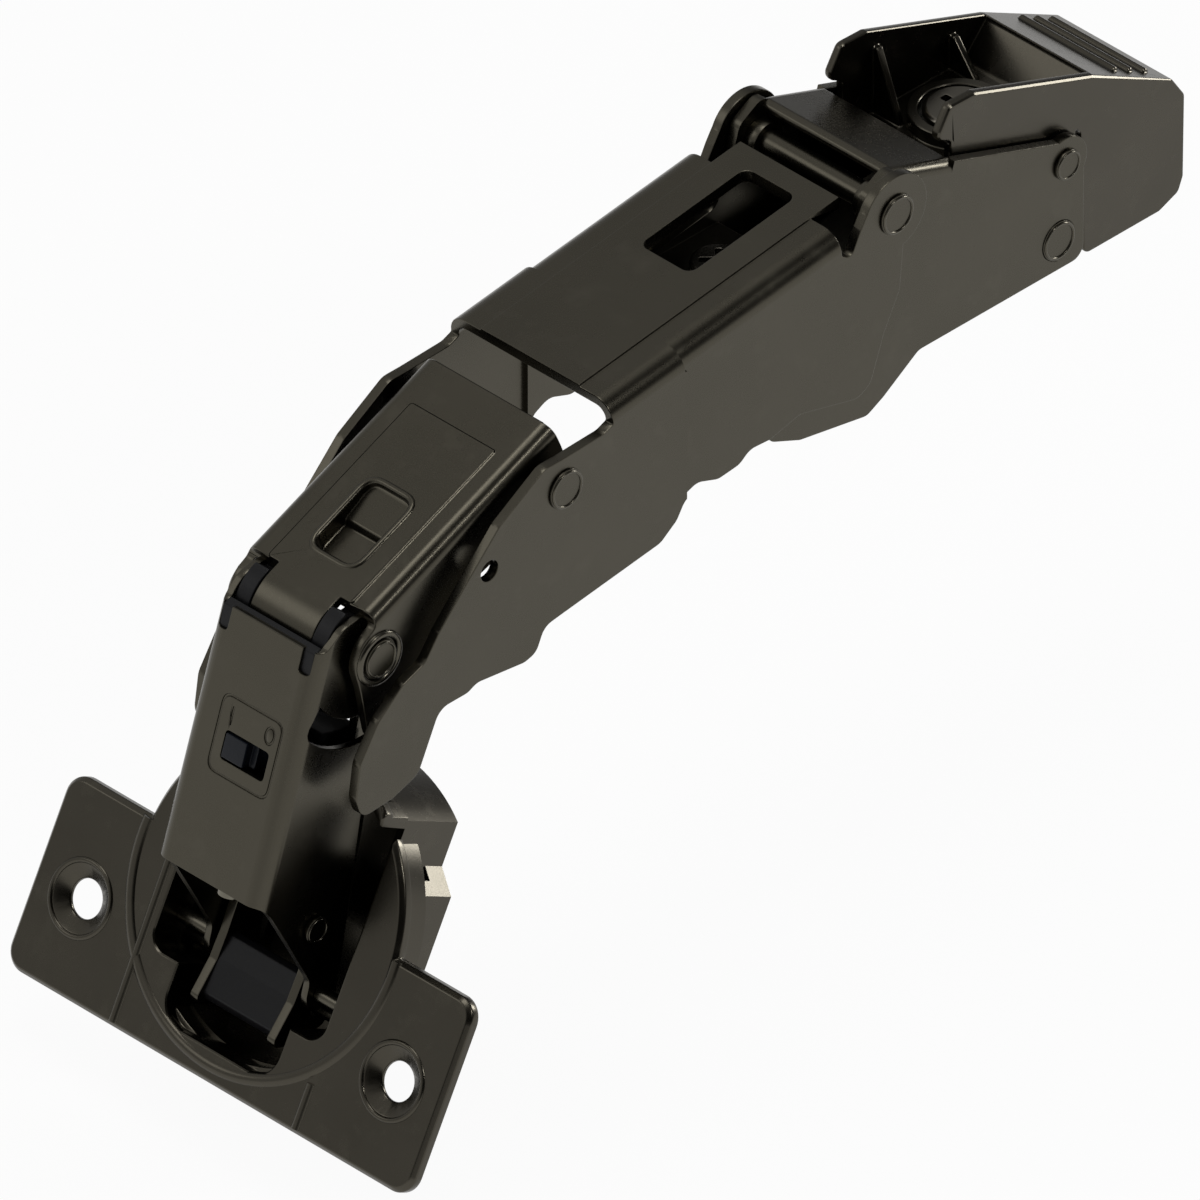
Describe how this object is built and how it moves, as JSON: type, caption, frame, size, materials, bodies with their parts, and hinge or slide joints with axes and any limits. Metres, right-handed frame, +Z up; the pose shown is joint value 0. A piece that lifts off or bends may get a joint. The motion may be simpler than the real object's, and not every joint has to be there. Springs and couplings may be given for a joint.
{
  "type": "concealed cabinet hinge",
  "caption": "Wide-angle concealed cabinet hinge, shown open: clip-on base with release lever, folding arm links, damper switch and a round cup with a two-hole screw flange.",
  "frame": {"origin": "on the underside of the seat plate, where the hinge rests on its mounting plate, below the depth screw's edge and midway between the side plates", "axes": "+X towards the cabinet front, where the door is; Y along every hinge pin; +Z up from the mounting plate"},
  "size_m": [0.1332, 0.0584, 0.0795],
  "materials": {
    "dark_steel": "satin gloss dark nickel plate",
    "dark_zinc": "glossy dark nickel plate on die-cast zinc",
    "spring_steel": "polished",
    "bright_screw": "gloss nickel plate",
    "black_plastic": "matte",
    "switch_plastic": "satin"
  },
  "bodies": {
    "base": {"base_frame": "dark_steel", "seat_plate": "dark_steel", "lever_spring": "spring_steel", "lever_pin": "dark_steel", "catch_pin": "dark_steel", "tilt_pin": "dark_steel", "tilt_bushes": "dark_steel"},
    "release_lever": {"clip_lever": "dark_zinc"},
    "depth_cam": {"depth_cam_screw": "bright_screw"},
    "side_screw": {"side_adjust_screw": "bright_screw"},
    "arm": {"arm_channel": "dark_steel", "fold_rivet": "dark_steel"},
    "link": {"middle_link": "dark_steel", "knuckle_rivet": "dark_steel", "swing_rivet": "dark_steel"},
    "cover": {"cover_link": "dark_steel", "cover_studs": "dark_steel", "damper_housing": "black_plastic", "damper_piston": "spring_steel"},
    "switch": {"damper_switch": "switch_plastic"},
    "inner": {"inner_lever": "dark_steel", "buffer_block": "black_plastic"},
    "cup": {"cup_body": "dark_zinc", "cup_pins": "spring_steel", "tail_pin": "spring_steel"}
  },
  "joints": [
    {"name": "arm_tilt", "type": "hinge", "parent": "base", "child": "arm", "pos_m": [0.02135, 0, 0.01424], "axis": [0, -1, 0], "range_deg": [-2.5, 2.5]},
    {"name": "fold", "type": "hinge", "parent": "arm", "child": "link", "pos_m": [0.0694, 0, 0.00426], "axis": [0, -1, 0], "range_deg": [0, 110]},
    {"name": "cover_turn", "type": "hinge", "parent": "link", "child": "cover", "pos_m": [0.09354, 0, -0.00594], "axis": [0, -1, 0], "range_deg": [-58.2, 0]},
    {"name": "cup_turn", "type": "hinge", "parent": "cover", "child": "cup", "pos_m": [0.10038, 0, -0.04514], "axis": [0, -1, 0], "range_deg": [0, 100.4]},
    {"name": "inner_turn", "type": "hinge", "parent": "link", "child": "inner", "pos_m": [0.09206, 0, -0.01508], "axis": [0, -1, 0], "range_deg": [-65.4, 0]},
    {"name": "lever_release", "type": "hinge", "parent": "base", "child": "release_lever", "pos_m": [-0.00476, 0, 0.00691], "axis": [0, 1, 0], "range_deg": [0, 3.5], "stiffness_Nm_per_rad": 0.1, "springref_deg": -11.46},
    {"name": "switch_slide", "type": "slide", "parent": "cover", "child": "switch", "axis": [0, 1, 0], "range_m": [0, 0.0025]},
    {"name": "depth_cam_turn", "type": "hinge", "parent": "base", "child": "depth_cam", "pos_m": [0.0009, 0, 0.006], "axis": [0, 0, 1], "range_deg": [-150, 150]},
    {"name": "side_screw_turn", "type": "hinge", "parent": "base", "child": "side_screw", "pos_m": [0.0356, 0, 0.006], "axis": [0, 0, 1], "range_deg": [-170, 170]}
  ],
  "couplings": [
    {"joint": "cover_turn", "follows": "fold", "ratio": -0.52727},
    {"joint": "cup_turn", "follows": "fold", "ratio": 0.91091},
    {"joint": "inner_turn", "follows": "fold", "ratio": -0.59236}
  ]
}
